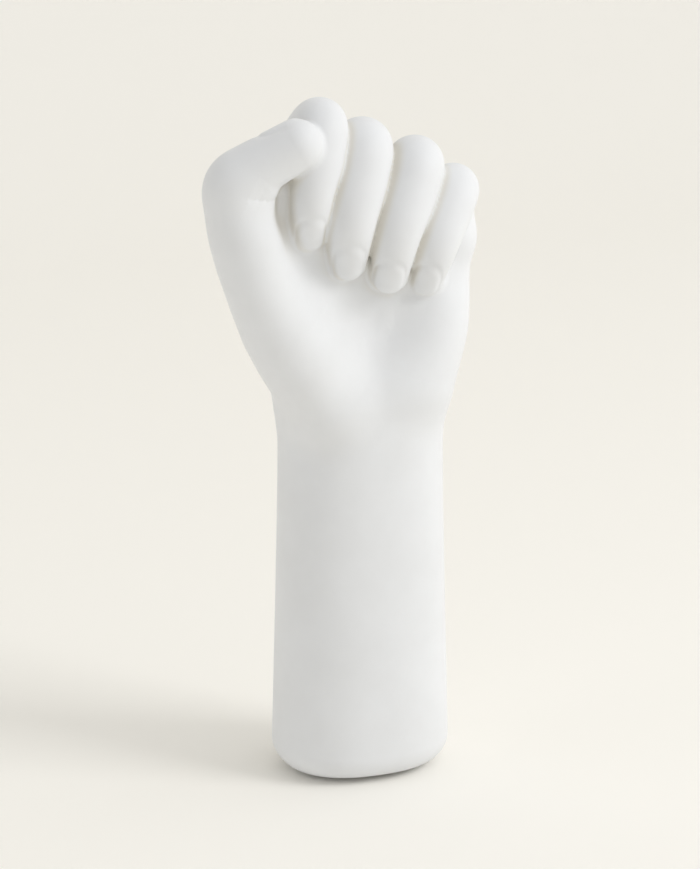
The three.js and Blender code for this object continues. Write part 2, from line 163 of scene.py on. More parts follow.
@dataclass(frozen=True)
class Nail:
    """A nail's plate on the back of a fingertip, in millimetres from the tip's centre."""

    ahead: float
    half_length: float
    half_width: float
    lift: float = 0.15
    groove: float = 0.30
    power: float = 2.5
    girth_limit: float = 9.0
    bevel: float = 0.3
    fold_place: float = 1.05
    fold_width: float = 0.14
    fold_middle: float = 0.75
    fold_fading: float = 0.6

    def relief(self, along: Array, aside: Array, back: Array) -> Array:
        """Height of the plate and of the fold round it.

        Args:
            along: Distance past the tip's centre.
            aside: Distance to the side of the centre line.
            back: Distance to the finger's back.

        Returns:
            How far the surface stands out.
        """
        girth = np.minimum(np.hypot(aside, back), self.girth_limit)
        across = np.arctan2(aside, back) * girth
        u = (along - self.ahead) / self.half_length
        v = across / self.half_width
        rim = (np.abs(u) ** self.power + np.abs(v) ** self.power) ** (1 / self.power)
        plate = np.clip((1.0 - rim) / self.bevel, 0.0, 1.0)
        plate = plate * plate * (3 - 2 * plate)
        fold = np.exp(-(((rim - self.fold_place) / self.fold_width) ** 2))
        fold = fold * np.clip(self.fold_middle - self.fold_fading * u, 0.0, 1.0)
        return np.where(back > 0, self.lift * plate - self.groove * fold, 0.0)


@dataclass
class Limb:
    """Flesh of changing radius round a chain of points with rounded corners."""

    joints: list[Point]
    radii: list[tuple[float, float]]
    bends: tuple[float, ...] = ()
    nail: Nail | None = None
    back: Point | None = None
    search_step: float = 5.0
    table_size: int = 600
    softening: float = 2.5
    nail_reach: float = 18.0
    nail_depth: float = 6.0
    corner_points: int = 25
    search_rounds: int = 2
    least_slack: float = 0.3

    def __post_init__(self) -> None:
        """Samples the centre line, its directions and the radius along it."""
        joints = np.array(self.joints, float)
        path = self._rounded(joints)
        gaps = np.linalg.norm(np.diff(path, axis=0), axis=1)
        run = np.concatenate([[0.0], np.cumsum(gaps)])
        self.length = run[-1]
        nearest = [np.argmin(np.linalg.norm(path - joint, axis=1)) for joint in joints]
        self.stations = run[nearest]
        even = np.linspace(0, self.length, self.table_size)
        centre = np.stack([np.interp(even, run, path[:, k]) for k in range(3)], -1)
        forward = np.gradient(centre, even, axis=0)
        forward /= np.linalg.norm(forward, axis=1)[:, None]
        bend = np.gradient(forward, even, axis=0)
        places = np.interp([j for j, _ in self.radii], np.arange(len(joints)), self.stations)
        radius = smooth_through(even, places, np.array([r for _, r in self.radii]))
        self.table = np.concatenate([centre, forward, bend, radius[:, None]], axis=1)
        self.low, self.high = centre.min(0) - radius.max(), centre.max(0) + radius.max()
        if self.nail:
            bent_to = np.cross(joints[-4] - joints[-3], joints[-2] - joints[-3])
            self.side = np.cross(joints[-1] - joints[-2], self.back) if self.back else bent_to
            self.side = self.side / np.linalg.norm(self.side)

    def _rounded(self, joints: Array, fineness: int = 400) -> Array:
        """Rounds the corners of the chain.

        Args:
            joints: The chain's points.
            fineness: How many points to spread along it.

        Returns:
            Points along the centre line.
        """
        corners = [joints[:1]]
        for i, bend in enumerate(self.bends, start=1):
            before, corner, after = joints[i - 1], joints[i], joints[i + 1]
            room = 0.5 * min(np.linalg.norm(before - corner), np.linalg.norm(after - corner))
            size = min(bend, room)
            start = corner + (before - corner) / np.linalg.norm(before - corner) * size
            end = corner + (after - corner) / np.linalg.norm(after - corner) * size
            t = np.linspace(0, 1, self.corner_points)[:, None]
            corners.append((1 - t) ** 2 * start + 2 * t * (1 - t) * corner + t * t * end)
        line = np.concatenate([*corners, joints[-1:]])
        run = np.concatenate([[0.0], np.cumsum(np.linalg.norm(np.diff(line, axis=0), axis=1))])
        even = np.linspace(0, run[-1], fineness)
        path = np.stack([np.interp(even, run, line[:, k]) for k in range(3)], -1)
        reach = max(1, int(self.softening / (even[1] - even[0])))
        kernel = np.hanning(2 * reach + 3)[1:-1]
        padded = np.concatenate([2 * path[0] - path[reach:0:-1], path, 2 * path[-1] - path[-2:-reach - 2:-1]])
        return np.stack([np.convolve(padded[:, k], kernel / kernel.sum(), "valid") for k in range(3)], -1)

    def _at(self, place: Array) -> tuple[Array, Array, Array, Array]:
        """Centre, direction, bend and radius at places along the limb."""
        t = np.clip(place / self.length, 0, 1) * (self.table_size - 1)
        i = np.minimum(t.astype(int), self.table_size - 2)
        row = self.table[i] + (t - i)[:, None] * (self.table[i + 1] - self.table[i])
        return row[:, 0:3], row[:, 3:6], row[:, 6:9], row[:, 9]

    def distance(self, points: Array, margin: float) -> tuple[Array, Array]:
        """Measures points against the flesh.

        Args:
            points: Places, one to a row.
            margin: How far from the limb a distance still matters.

        Returns:
            Distances to the surface, and the place along the limb that each point is nearest to.
        """
        away = np.full(len(points), FAR)
        along = np.zeros(len(points))
        near = np.flatnonzero(np.all((points > self.low - margin) & (points < self.high + margin), axis=1))
        if not len(near):
            return away, along
        near_points = points[near]
        place = self._nearest(near_points)
        for _ in range(self.search_rounds):
            centre, forward, bend, _ = self._at(place)
            offset = near_points - centre
            ahead = np.einsum("ij,ij->i", offset, forward)
            slack = np.maximum(1 - np.einsum("ij,ij->i", offset, bend), self.least_slack)
            place = np.clip(place + ahead / slack, 0, self.length)
        centre, forward, _, radius = self._at(place)
        offset = near_points - centre
        gap = np.linalg.norm(offset, axis=1) - radius
        if self.nail:
            at_tip = place > self.length - self.nail_reach
            tip = np.flatnonzero(at_tip & (np.abs(gap) < self.nail_depth))
            gap[tip] -= self._nail_relief(offset[tip], forward[tip], place[tip])
        away[near] = gap
        along[near] = place
        return away, along

    def _nearest(self, points: Array) -> Array:
        """The place along the limb whose straight stretch is nearest to each point."""
        stops = np.linspace(0, self.length, max(2, int(self.length / self.search_step)) + 1)
        centres, _, _, radii = self._at(stops)
        x, y, z = np.ascontiguousarray(points.T)
        best = np.full(len(points), FAR)
        place = np.zeros(len(points))
        for i in range(len(stops) - 1):
            a, u = centres[i], centres[i + 1] - centres[i]
            qx, qy, qz = x - a[0], y - a[1], z - a[2]
            t = np.clip((qx * u[0] + qy * u[1] + qz * u[2]) / (u @ u), 0.0, 1.0)
            gap = np.sqrt((qx - t * u[0]) ** 2 + (qy - t * u[1]) ** 2 + (qz - t * u[2]) ** 2)
            gap -= radii[i] + t * (radii[i + 1] - radii[i])
            closer = gap < best
            best = np.where(closer, gap, best)
            place = np.where(closer, stops[i] + t * (stops[i + 1] - stops[i]), place)
        return place

    def _nail_relief(self, offset: Array, forward: Array, place: Array) -> Array:
        """Relief of the nail at points near the tip, in the limb's own directions there."""
        side = self.side - (forward @ self.side)[:, None] * forward
        side /= np.linalg.norm(side, axis=1)[:, None]
        back = np.cross(side, forward)
        ahead = place - self.length + np.einsum("ij,ij->i", offset, forward)
        aside = np.einsum("ij,ij->i", offset, side)
        return self.nail.relief(ahead, aside, np.einsum("ij,ij->i", offset, back))


@dataclass
class ForearmForm:
    """The oval forearm that tapers to the wrist and flattens into the heel of the hand."""

    foot_level: float
    wrist_level: float
    foot_half: tuple[float, float]
    wrist_half: tuple[float, float] = (29.8, 24.0)
    heel_half: tuple[float, float] = (34.0, 11.1)
    heel_height: float = 42.0
    foot_radius: float = 10.0
    heel_radius: float = 12.0
    wrist_reach: float = 10.0
    wrist_flare: float = 0.2
    power: float = 2.2

    def distance(self, points: Array) -> Array:
        """Distances to the forearm's side, its rounded foot and its end inside the palm."""
        x, y, z = points.T
        heel = self.wrist_level + self.heel_height
        below, above = self.wrist_level - self.wrist_reach, self.wrist_level + self.wrist_reach
        levels = np.array([self.foot_level, below, above, heel])
        half_width, half_depth = (
            smooth_through(z, levels, np.array([at_foot, at_wrist + self.wrist_flare, at_wrist, at_heel]))
            for at_foot, at_wrist, at_heel in zip(self.foot_half, self.wrist_half, self.heel_half)
        )
        oval = (np.abs(x) / half_width) ** self.power + (np.abs(y) / half_depth) ** self.power
        side = np.hypot(x, y) * (1 - 1 / np.maximum(oval, LEAST_OVAL) ** (1 / self.power))
        under = self.foot_level + self.foot_radius - z
        foot = np.hypot(np.maximum(side + self.foot_radius, 0.0), np.maximum(under, 0.0)) - self.foot_radius
        foot = np.where(under > 0, np.maximum(foot, self.foot_level - z), side)
        over = z - heel + self.heel_radius
        end = np.hypot(np.maximum(side + self.heel_radius, 0.0), np.maximum(over, 0.0)) - self.heel_radius
        return np.where(over > 0, end, foot)


def finger(joints: list[Point], radii: tuple[float, float, float, float], nail: Nail) -> Limb:
    """A bent finger.

    Args:
        joints: Knuckle, middle joint, end joint and tip.
        radii: The radius at each.
        nail: The nail on its tip.

    Returns:
        The finger's flesh.
    """
    knuckle, middle, end, tip = radii
    slim_first, slim_second = FINGER_RADII_BETWEEN
    stations = [
        (0, knuckle), (0.5, knuckle * slim_first), (1, middle),
        (1.5, middle * slim_second), (2, end), (3, tip),
    ]
    return Limb(joints, stations, FINGER_BENDS, nail)


class HandForm:
    """The whole hand as one flowing form: distances to it, and which casting a place belongs to."""

    def __init__(self, forearm: ForearmForm) -> None:
        """Sets out the skeleton from the middle of the wrist seam and the flesh round it."""
        self.forearm = forearm
        self.wrist = forearm.wrist_level
        self.fingers = {
            Casting.INDEX: finger(
                self._from_wrist(
                    (-28, 9, 81), (-21.5, -23, 117.7), (-29.2, -31.3, 89.2), (-26.8, -22.2, 75.4)),
                (11.2, 9.3, 7.2, 6.1), Nail(-2.8, 8.6, 5.7)),
            Casting.MIDDLE: finger(
                self._from_wrist((-8, 12, 77), (-5.0, -20.4, 108), (-14.4, -29.1, 80), (-12.2, -20.7, 64)),
                (11.4, 10.4, 8.8, 6.6), Nail(-2.5, 9.2, 6.0)),
            Casting.RING: finger(
                self._from_wrist((11.5, 11, 70), (15.3, -18.8, 100.4), (2.5, -28.2, 73.5), (3.5, -19.5, 58)),
                (10.8, 10.1, 8.5, 6.8), Nail(-1.8, 8.5, 6.0)),
            Casting.LITTLE: finger(
                self._from_wrist((28, 6, 60.5), (31, -14.5, 89.9), (18.5, -25.3, 68.5), (18.1, -18, 55.3)),
                (10.0, 9.3, 7.9, 6.3), Nail(-1.5, 7.8, 5.4)),
        }
        self.thumb = Limb(
            self._from_wrist(
                (-18.7, -14.3, 12.2), (-44.6, -21.7, 53.7), (-56.5, -25.7, 95.4), (-35.2, -33.5, 108.6)),
            [(0, 10), (0.5, 12.6), (1, 11.9), (1.5, 12.1), (2, 10.2), (2.5, 9.5), (3, 8.8)],
            (18.0, 5.0), Nail(-2.0, 7.8, 6.2), back=(-0.33, 0.39, 0.86))
        bone = [(0, 13.5), (0.6, 13.2), (1, 11.6)]
        self.bones = [
            Limb(self._from_wrist((-11, 2.7, 16), (-27, 7.2, 75)), bone),
            Limb(self._from_wrist((-4, 4.6, 16), (-8, 10.2, 72)), bone),
            Limb(self._from_wrist((5, 4.6, 14), (11, 9.2, 65)), bone),
            Limb(self._from_wrist((13, 2.7, 16), (25.8, 4.2, 56)), bone),
        ]
        self.hand_edge = Limb(
            self._from_wrist(
                (16.5, -11.7, 18), (23.5, -10.2, 38), (26, -6, 56), (28, -8.5, 70), (29.5, -11.5, 82)),
            [(0, 10.6), (1, 12.2), (2, 10.8), (3, 9.2), (4, 7.6)], (14.0, 8.0, 8.0))
        self.palm_pad = Limb(
            self._from_wrist((-18, -7, 58), (3, 0.4, 50), (20, -2.2, 45)),
            [(0, 12.5), (1, 14.3), (2, 8.3)], (10.0,))
        self.thumb_ball = Limb(
            self._from_wrist((-9, -3.5, 18), (-23.9, -4.5, 34.2), (-38.8, -10.1, 56.5)),
            [(0, 9.2), (1, 15.5), (2, 13.8)], (14.0,))
        self.web = Limb(self._from_wrist((-32, -9, 65), (-35, -19, 92.5)), [(0, 9.5), (1, 7.8)])
        self.crook = Limb(self._from_wrist((-51, -26.7, 93.1), (-47.6, -27.3, 91.6)), [(0, 7), (1, 5.4)])
        self.cushion = Limb(
            self._from_wrist(
                (-33, -13.7, 75.5), (-17.5, -11.6, 70), (-1, -9.3, 64.3), (13.5, -9.4, 58.3),
                (25.5, -7.6, 54.8)),
            [(0, 8.5), (1, 9), (2, 9), (3, 9), (4, 8)], (6.0, 6.0, 6.0))
        self.core = Limb(
            self._from_wrist((-14, -9, 84), (3, -8, 78), (31, -8, 67)), [(0, 8), (1, 9), (2, 8.5)], (10.0,))

    def _from_wrist(self, *places: Point) -> list[Point]:
        """Places given from the middle of the wrist seam, in the object's frame."""
        return [(x, y, z + self.wrist) for x, y, z in places]

    def palm_distance(self, points: Array) -> Array:
        """Distances to forearm and palm, with the ball of the thumb, the pads and the web."""
        bones = np.full(len(points), FAR)
        for limb in self.bones:
            bones = blend(bones, limb.distance(points, BONE_MARGIN)[0], BONE_BLEND)
        body = blend(self.forearm.distance(points), bones, HEEL_BLEND)
        flesh = (
            (self.hand_edge, 14.0), (self.palm_pad, 13.0), (self.thumb_ball, 14.6), (self.web, 12.0),
            (self.crook, 4.0), (self.cushion, 5.0), (self.core, 6.0),
        )
        for limb, width in flesh:
            body = blend(body, limb.distance(points, width + FLESH_MARGIN)[0], width)
        return body

    def distance(self, points: Array) -> Array:
        """Distances to the whole hand."""
        body = self.palm_distance(points)
        away, along = self.thumb.distance(points, THUMB_MARGIN)
        knuckle, joint = self.thumb.stations[1:3]
        places = [knuckle * THUMB_MERGED, knuckle, *(joint + beyond for beyond in THUMB_LOOSENS)]
        body = blend(body, away, np.interp(along, places, THUMB_BLENDS))
        fingers = np.full(len(points), FAR)
        width = np.full(len(points), PALM_BLENDS[-1])
        for limb in self.fingers.values():
            away, along = limb.distance(points, FINGER_MARGIN)
            first = limb.stations[1]
            to_palm = np.interp(along, first * PALM_SHARES, PALM_BLENDS)
            width = np.where(away < fingers, to_palm, width)
            fingers = blend(fingers, away, np.interp(along, first * BESIDE_SHARES, BESIDE_BLENDS))
        return blend(body, fingers, width)

    def gradient(self, points: Array, values: Array, reach: float = 0.05) -> Array:
        """How the distance grows along each axis.

        Args:
            points: Places to measure at.
            values: The distances there.
            reach: Step of the measurement.

        Returns:
            The slope along X, Y and Z at each place.
        """
        steps = reach * np.eye(3)
        return np.stack([(self.distance(points + step) - values) / reach for step in steps], -1)

    def casting(self, points: Array) -> Array:
        """The number of the casting that each place belongs to, in the order of Casting."""
        order = list(Casting)
        own = np.full((len(order), len(points)), FAR)
        own[order.index(Casting.PALM)] = self.palm_distance(points)
        limbs = [(Casting.THUMB, self.thumb, THUMB_ROOT)]
        limbs += [(name, limb, FINGER_ROOT) for name, limb in self.fingers.items()]
        for name, limb, root in limbs:
            away, along = limb.distance(points, FINGER_MARGIN)
            first, second = limb.stations[1:3]
            claim = np.interp(along, [first * root, first, second], LIMB_CLAIMS)
            own[order.index(name)] = np.where(along > first * root, away - claim, FAR)
        label = own.argmin(0)
        below = (label == order.index(Casting.PALM)) & (points[:, 2] < self.wrist)
        return np.where(below, order.index(Casting.FOREARM), label)


def patches(faces: Array, count: int) -> Array:
    """Tells apart the patches of joined faces.

    Args:
        faces: Four point numbers to a row.
        count: How many points there are.

    Returns:
        The lowest point number in the patch of each face.
    """
    lowest = np.arange(count)
    while True:
        lower = lowest.copy()
        np.minimum.at(lower, faces.ravel(), np.repeat(lowest[faces].min(1), 4))
        lower = lower[lower]
        if np.array_equal(lower, lowest):
            return lowest[faces[:, 0]]
        lowest = lower


@dataclass
class Skin:
    """A closed skin of four-sided faces on a form, with the form's own normals."""

    points: Array
    faces: Array
    normals: Array


@dataclass
class SkinMaker:
    """Finds the surface of a form on a grid and settles the grid's points on it."""

    form: HandForm
    pitch: float
    low: Array
    high: Array
    coarse: int = 6
    settle_rounds: int = 3
    near_blocks: float = 1.1
    least_steepness: float = 0.1

    def make(self) -> Skin:
        """Meshes the form.

        Returns:
            The form's skin.
        """
        values, origin = self._sample()
        points, faces = self._outermost(*self._nets(values, origin))
        points = self._project(points)
        for _ in range(self.settle_rounds):
            points = self._project(self.relaxed(points, faces))
        normals = self.form.gradient(points, self.form.distance(points))
        normals /= np.maximum(np.linalg.norm(normals, axis=1), LEAST_SLOPE)[:, None]
        return Skin(points, faces, normals)

    def _sample(self) -> tuple[Array, Array]:
        """Measures the form on a grid, finely only where its surface can be.

        Returns:
            The distances on the grid and the grid's first corner.
        """
        block = self.pitch * self.coarse
        blocks = np.ceil((self.high - self.low) / block).astype(int)
        middles = np.meshgrid(*[np.arange(n) + 0.5 for n in blocks], indexing="ij")
        centres = np.stack(middles, -1) * block + self.low
        rough = self.form.distance(centres.reshape(-1, 3)).reshape(blocks)
        values = rough
        for axis in range(3):
            values = np.repeat(values, self.coarse, axis=axis)
        near = np.abs(values) < block * self.near_blocks
        grid = np.argwhere(near)
        values[near] = self._in_parts(grid * self.pitch + self.low)
        return values, self.low

    def _in_parts(self, points: Array, part: int = 200_000) -> Array:
        """Distances at many places, a part of them at a time."""
        shares = np.array_split(points, len(points) // part + 1)
        return np.concatenate([self.form.distance(share) for share in shares])

    def _nets(self, values: Array, origin: Array) -> tuple[Array, Array]:
        """Puts one point in each grid cell that the surface crosses and joins them over the crossed edges.

        Args:
            values: Distances on the grid.
            origin: The grid's first corner.

        Returns:
            The points and the faces.
        """
        inside = values < 0
        corners = np.stack(np.meshgrid([0, 1], [0, 1], [0, 1], indexing="ij"), -1).reshape(-1, 3)
        size = np.array(values.shape) - 1
        count = np.zeros(size, np.int8)
        for cx, cy, cz in corners:
            count += inside[cx:size[0] + cx, cy:size[1] + cy, cz:size[2] + cz]
        active = (count > 0) & (count < 8)
        cells = np.argwhere(active)
        number = np.full(size, -1, np.int64)
        number[active] = np.arange(len(cells))
        at = [values[tuple((cells + c).T)] for c in corners]
        total = np.zeros((len(cells), 3))
        crossings = np.zeros(len(cells))
        for i, a in enumerate(corners):
            for j, b in enumerate(corners):
                if i < j and np.abs(a - b).sum() == 1:
                    crossed = (at[i] < 0) != (at[j] < 0)
                    t = at[i][crossed] / (at[i][crossed] - at[j][crossed])
                    total[crossed] += a + t[:, None] * (b - a)
                    crossings[crossed] += 1
        points = (cells + total / crossings[:, None]) * self.pitch + origin
        return points, np.concatenate([self._faces_over(axis, inside, number) for axis in range(3)])

    @staticmethod
    def _outermost(points: Array, faces: Array) -> tuple[Array, Array]:
        """Keeps the largest patch of a net, without the skins of hollows that it closes in."""
        patch = patches(faces, len(points))
        used, local = np.unique(faces[patch == np.bincount(patch).argmax()], return_inverse=True)
        return points[used], local.reshape(-1, 4)

    @staticmethod
    def _faces_over(axis: int, inside: Array, number: Array) -> Array:
        """Faces over the crossed grid edges along one axis, turned outwards."""
        second, third = (axis + 1) % 3, (axis + 2) % 3
        start = np.take(inside, range(inside.shape[axis] - 1), axis)
        crossed = np.argwhere(start != np.take(inside, range(1, inside.shape[axis]), axis))

        def cell(back: int, aside: int) -> Array:
            """Numbers of the cells beside the crossed edges."""
            moved = crossed.copy()
            moved[:, second] -= back
            moved[:, third] -= aside
            return number[tuple(moved.T)]

        faces = np.stack([cell(1, 1), cell(0, 1), cell(0, 0), cell(1, 0)], -1)
        outward = start[tuple(crossed.T)]
        faces[~outward] = faces[~outward][:, ::-1]
        return faces

    def _project(self, points: Array) -> Array:
        """Moves points onto the surface along its slope."""
        values = self.form.distance(points)
        slope = self.form.gradient(points, values)
        steep = np.maximum((slope * slope).sum(1), self.least_steepness)
        move = np.clip(values / steep, -self.pitch, self.pitch)
        return points - move[:, None] * slope

    @staticmethod
    def relaxed(points: Array, faces: Array) -> Array:
        """Moves each point half of the way to the middle of its neighbours."""
        total = np.zeros_like(points)
        count = np.zeros(len(points))
        for k in range(4):
            a, b = faces[:, k], faces[:, (k + 1) % 4]
            for axis in range(3):
                total[:, axis] += np.bincount(a, points[b, axis], len(points))
            count += np.bincount(a, minlength=len(points))
        return 0.5 * points + 0.5 * total / count[:, None]


def mesh_from(name: str, points: Array, faces: Array) -> bpy.types.Mesh:
    """Makes a mesh of four-sided faces.

    Args:
        name: The mesh's name.
        points: Places in millimetres.
        faces: Four point numbers to a row.

    Returns:
        The mesh, in metres and shaded smoothly.
    """
    mesh = bpy.data.meshes.new(name)
    mesh.vertices.add(len(points))
    mesh.vertices.foreach_set("co", (points * MM).astype(np.float32).ravel())
    mesh.loops.add(faces.size)
    mesh.loops.foreach_set("vertex_index", faces.astype(np.int32).ravel())
    mesh.polygons.add(len(faces))
    mesh.polygons.foreach_set("loop_start", np.arange(0, faces.size, faces.shape[1], dtype=np.int32))
    mesh.polygons.foreach_set("use_smooth", np.ones(len(faces), bool))
    mesh.update(calc_edges=True)
    return mesh


def link(name: str, mesh: bpy.types.Mesh) -> bpy.types.Object:
    """Puts a mesh into the scene as an object at the origin."""
    piece = bpy.data.objects.new(name, mesh)
    bpy.context.scene.collection.objects.link(piece)
    return piece


@dataclass
class HandSculpture:
    """The castings of the hand as separate closed pieces of one flowing skin."""

    pitch: float = 0.8
    quick_pitch: float = 1.75
    wall: float = 3.0
    lining_rounds: int = 4
    skin_box: tuple[Point, Point] = ((-72, -52, 0), (48, 32, 260))

    def build(self) -> dict[Casting, bpy.types.Object]:
        """Makes the skin and parts it into the castings.

        Returns:
            The piece of each casting.
        """
        foot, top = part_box(Casting.FOREARM.value)
        seam = (top.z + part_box(Casting.PALM.value)[0].z) / 2
        forearm = ForearmForm(foot.z / MM, seam / MM, (top.x / MM, top.y / MM))
        form = HandForm(forearm)
        pitch = self.pitch * 1.0
        skin = SkinMaker(form, pitch, *(np.array(corner, float) for corner in self.skin_box)).make()
        fold_shade_mask = self._shelter(form, skin)
        centres = skin.points[skin.faces].mean(1)
        label = self._tidied(skin, form.casting(centres))
        label[self._under_disc(centres, foot.z / MM, forearm.power)] = -1
        return {
            casting: self._piece(casting, skin, fold_shade_mask, skin.faces[label == number])
            for number, casting in enumerate(Casting)
        }

    @staticmethod
    def _under_disc(centres: Array, level: float, power: float) -> Array:
        """Which faces of the foot make way for the closing disc, an oval like the forearm."""
        _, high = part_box("closing_disc")
        across = np.abs(centres[:, 0]) / (high.x / MM)
        deep = np.abs(centres[:, 1]) / (high.y / MM)
        return (across ** power + deep ** power < 1) & (centres[:, 2] < level + DISC_REACH)

    @staticmethod
    def _tidied(skin: Skin, label: Array) -> Array:
        """Smooths the seams between the castings and gives stray islands to what surrounds them.

        Args:
            skin: The whole skin.
            label: The casting of each face.

        Returns:
            The casting of each face, with one patch to a casting.
        """
        kinds = len(Casting)

        def votes(of_faces: Array) -> Array:
            """How many faces of each casting meet round each face's corners."""
            keys = (skin.faces * kinds + of_faces[:, None])[of_faces >= 0]
            count = np.bincount(keys.ravel(), minlength=len(skin.points) * kinds).reshape(-1, kinds)
            return count[skin.faces].sum(1)

        for _ in range(SEAM_ROUNDS):
            label = votes(label).argmax(1)
        for number in range(kinds):
            mine = np.flatnonzero(label == number)
            patch = patches(skin.faces[mine], len(skin.points))
            label[mine[patch != np.bincount(patch).argmax()]] = -1
        found = votes(label)
        while (reached := (label < 0) & (found.max(1) > 0)).any():
            label[reached] = found[reached].argmax(1)
            found = votes(label)
        return label

    @staticmethod
    def _shelter(form: HandForm, skin: Skin) -> Array:
        """How closed in each point of the skin is, from 0 in the open to 1 in a deep fold, for the shade
        painted there.
        """
        closed = np.zeros(len(skin.points))
        for depth in SHELTER_DEPTHS:
            room = form.distance(skin.points + depth * skin.normals)
            closed += np.clip(1 - room / depth, 0, 1) / len(SHELTER_DEPTHS)
        return closed

    def _piece(self, casting: Casting, skin: Skin, fold_shade_mask: Array, faces: Array) -> bpy.types.Object:
        """Closes a patch of the skin with an inner wall and a rim.

        Args:
            casting: The casting that the patch belongs to.
            skin: The whole skin.
            fold_shade_mask: How closed in each point of the skin is.
            faces: The patch's faces.

        Returns:
            The casting's piece.
        """
        used, local = np.unique(faces, return_inverse=True)
        outer = local.reshape(faces.shape)
        count = len(used)
        points, normals = skin.points[used], skin.normals[used]
        edges = np.concatenate([outer[:, [k, (k + 1) % 4]] for k in range(4)])
        keys = edges[:, 0] * count + edges[:, 1]
        rim = edges[~np.isin(keys, edges[:, 1] * count + edges[:, 0])]
        walls = np.stack([rim[:, 1], rim[:, 0], rim[:, 0] + count, rim[:, 1] + count], -1)
        inner = outer[:, ::-1] + count
        lining = points - self.wall * normals
        for _ in range(self.lining_rounds):
            lining = SkinMaker.relaxed(lining, outer)
        mesh = mesh_from(
            casting.value + "_skin", np.concatenate([points, lining]), np.concatenate([outer, inner, walls]))
        mesh.normals_split_custom_set_from_vertices(np.concatenate([normals, -normals]).tolist())
        # How closed in each point is, which the ceramic reads to paint shade and warm reflected light into
        # the folds
        attribute = mesh.attributes.new("fold_shade_mask", "FLOAT", "POINT")
        attribute.data.foreach_set("value", np.tile(fold_shade_mask[used], 2).astype(np.float32))
        return link(casting.value + "_skin", mesh)


def socket(node: bpy.types.Node, name: str) -> bpy.types.NodeSocket:
    """The input of a node that has this name."""
    return next(s for s in node.inputs if s.name == name)


def wire(tree: bpy.types.NodeTree, kind: str, **settings: object) -> bpy.types.Node:
    """Adds a node to a tree.

    Args:
        tree: The tree.
        kind: The node's type.
        **settings: Properties of the node.

    Returns:
        The node.
    """
    node = tree.nodes.new(kind)
    for name, value in settings.items():
        setattr(node, name, value)
    return node


def mixed(
    tree: bpy.types.NodeTree,
    share: bpy.types.NodeSocket,
    first: bpy.types.NodeSocket | Colour,
    second: Colour,
) -> bpy.types.NodeSocket:
    """Mixes two colours by a share that changes over the surface.

    Args:
        tree: The material's tree.
        share: How much of the second colour there is.
        first: The first colour, or the output that gives it.
        second: The second colour.

    Returns:
        The output with the mixed colour.
    """
    mix = wire(tree, "ShaderNodeMix", data_type="RGBA")
    tree.links.new(share, mix.inputs[MIX_SHARE])
    if isinstance(first, bpy.types.NodeSocket):
        tree.links.new(first, mix.inputs[MIX_FIRST])
    else:
        mix.inputs[MIX_FIRST].default_value = (*first, 1.0)
    mix.inputs[MIX_SECOND].default_value = (*second, 1.0)
    return mix.outputs[MIX_RESULT]


def slip_cast_group(ripple_share: float = 4.0) -> bpy.types.NodeTree:
    """Builds the surface that casting in slip and rubbing down leaves.

    Args:
        ripple_share: How high the ripples are for each height of the pores.

    Returns:
        A shader group that puts out the cloudiness of the body and the height of its pores and ripples.
    """
    group = bpy.data.node_groups.new("slip_cast_surface", "ShaderNodeTree")
    for name, value in (("Cloud Scale", 40.0), ("Pore Scale", 900.0), ("Ripple Scale", 120.0)):
        group.interface.new_socket(name, in_out="INPUT", socket_type="NodeSocketFloat").default_value = value
    for name in ("Cloud", "Height"):
        group.interface.new_socket(name, in_out="OUTPUT", socket_type="NodeSocketFloat")
    given = wire(group, "NodeGroupInput")
    result = wire(group, "NodeGroupOutput")
    place = wire(group, "ShaderNodeTexCoord")
    noises = {}
    for name, detail, roughness in (("Cloud", 4.0, 0.55), ("Pore", 2.0, 0.6), ("Ripple", 3.0, 0.5)):
        noise = wire(group, "ShaderNodeTexNoise")
        socket(noise, "Detail").default_value = detail
        socket(noise, "Roughness").default_value = roughness
        group.links.new(place.outputs["Object"], socket(noise, "Vector"))
        group.links.new(given.outputs[f"{name} Scale"], socket(noise, "Scale"))
        noises[name] = noise.outputs["Fac"]
    height = wire(group, "ShaderNodeMath", operation="MULTIPLY_ADD")
    group.links.new(noises["Ripple"], height.inputs[0])
    height.inputs[1].default_value = ripple_share
    group.links.new(noises["Pore"], height.inputs[2])
    group.links.new(noises["Cloud"], result.inputs["Cloud"])
    group.links.new(height.outputs["Value"], result.inputs["Height"])
    return group


